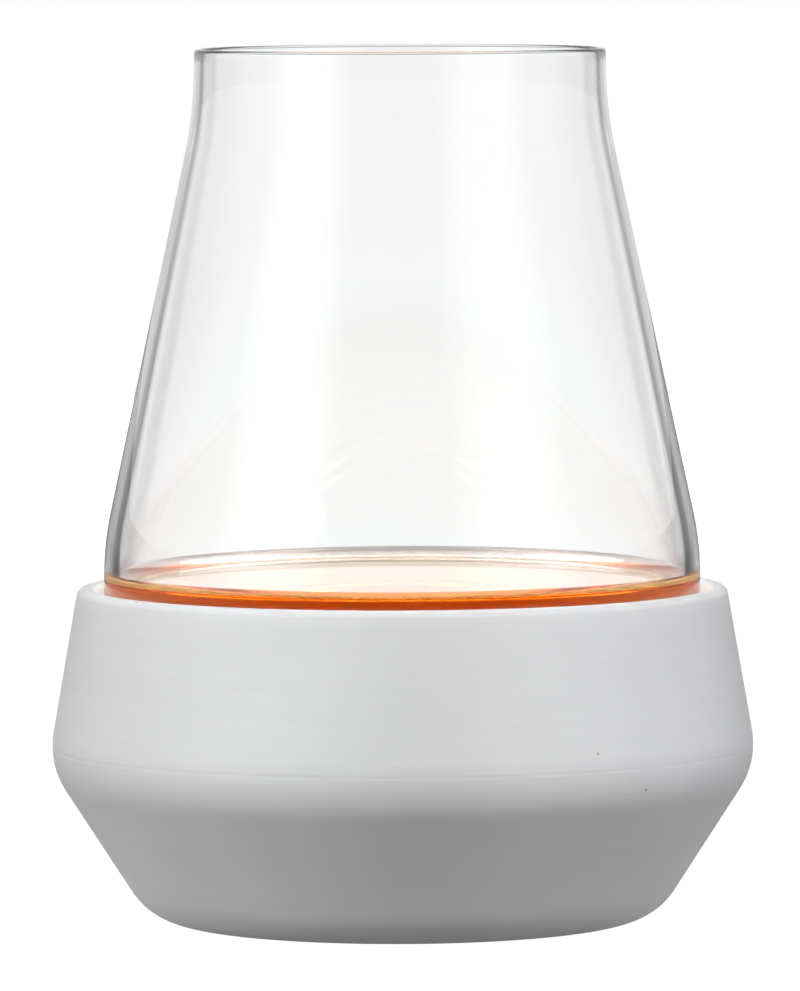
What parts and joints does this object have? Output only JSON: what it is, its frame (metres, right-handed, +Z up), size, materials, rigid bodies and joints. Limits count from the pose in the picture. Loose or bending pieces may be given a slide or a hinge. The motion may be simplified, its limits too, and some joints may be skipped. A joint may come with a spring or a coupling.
{
  "type": "whisky glass in holder",
  "caption": "Clear whisky glass with a narrow mouth and wide rounded bowl, holding an amber pour, standing in a thick soft white moulded holder.",
  "frame": {"origin": "centre of the holder's foot, on the plane it stands on", "axes": "+Z up along the common axis of the glass and the holder"},
  "size_m": [0.0984, 0.0984, 0.1224],
  "materials": {
    "holder_silicone": "matt white silicone",
    "clear_glass": "polished clear crystal",
    "whisky": "clear amber liquid"
  },
  "bodies": {
    "holder": {"holder": "holder_silicone"},
    "glass": {"glass_bowl": "clear_glass", "whisky_pour": "whisky"}
  },
  "joints": [
    {"name": "glass_lift", "type": "slide", "parent": "holder", "child": "glass", "axis": [0, 0, 1], "range_m": [0, 0.05]}
  ]
}
